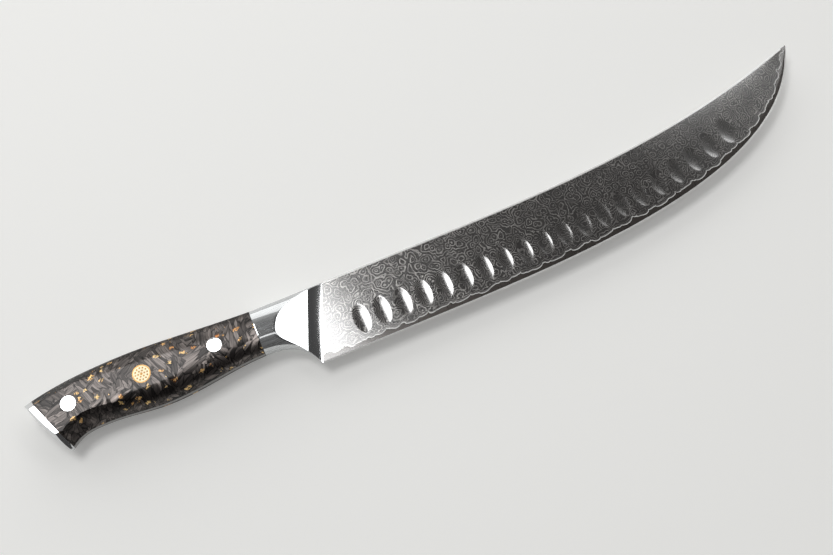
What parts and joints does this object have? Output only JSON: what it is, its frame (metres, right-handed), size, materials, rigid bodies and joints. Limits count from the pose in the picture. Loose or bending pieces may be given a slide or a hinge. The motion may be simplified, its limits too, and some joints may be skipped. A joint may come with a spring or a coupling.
{
  "type": "carving knife",
  "caption": "Curved carving knife with a hollow-dimpled layered steel blade, forged bolster, full tang, pinned carbon-look scales and a steel butt cap.",
  "frame": {"origin": "in the blade's middle plane, on the line of the three pins, where the spine leaves the bolster", "axes": "+X from the handle to the tip along the straight spine, +Y from the edge to the spine, +Z out of the left side; the knife lies on its right side"},
  "size_m": [0.3711, 0.0562, 0.018],
  "materials": {
    "core_steel": "satin ground high-carbon steel, bare along the edge",
    "damascus": "etched pattern-welded steel, satin with pale layer lines",
    "polished_steel": "polished stainless steel",
    "tang_steel": "ground steel, polished flush with the scales",
    "forged_carbon": "chopped carbon fibre and copper-gold flakes in clear resin, polished",
    "pin_steel": "polished stainless steel",
    "brass": "polished brass",
    "mosaic_fill": "cream-gold filled resin, polished flush",
    "mosaic_rod": "dark bronze rods, polished flush"
  },
  "bodies": {
    "root": {"blade_core": "core_steel", "cladding_left": "damascus", "cladding_right": "damascus", "bolster": "polished_steel", "tang": "tang_steel", "scale_left": "forged_carbon", "scale_right": "forged_carbon", "butt_cap": "polished_steel", "front_pin": "pin_steel", "rear_pin": "pin_steel", "mosaic_tube": "brass", "mosaic_resin": "mosaic_fill", "mosaic_center_rod": "mosaic_rod", "mosaic_inner_rods": "mosaic_rod", "mosaic_outer_rods": "mosaic_rod"}
  },
  "joints": []
}
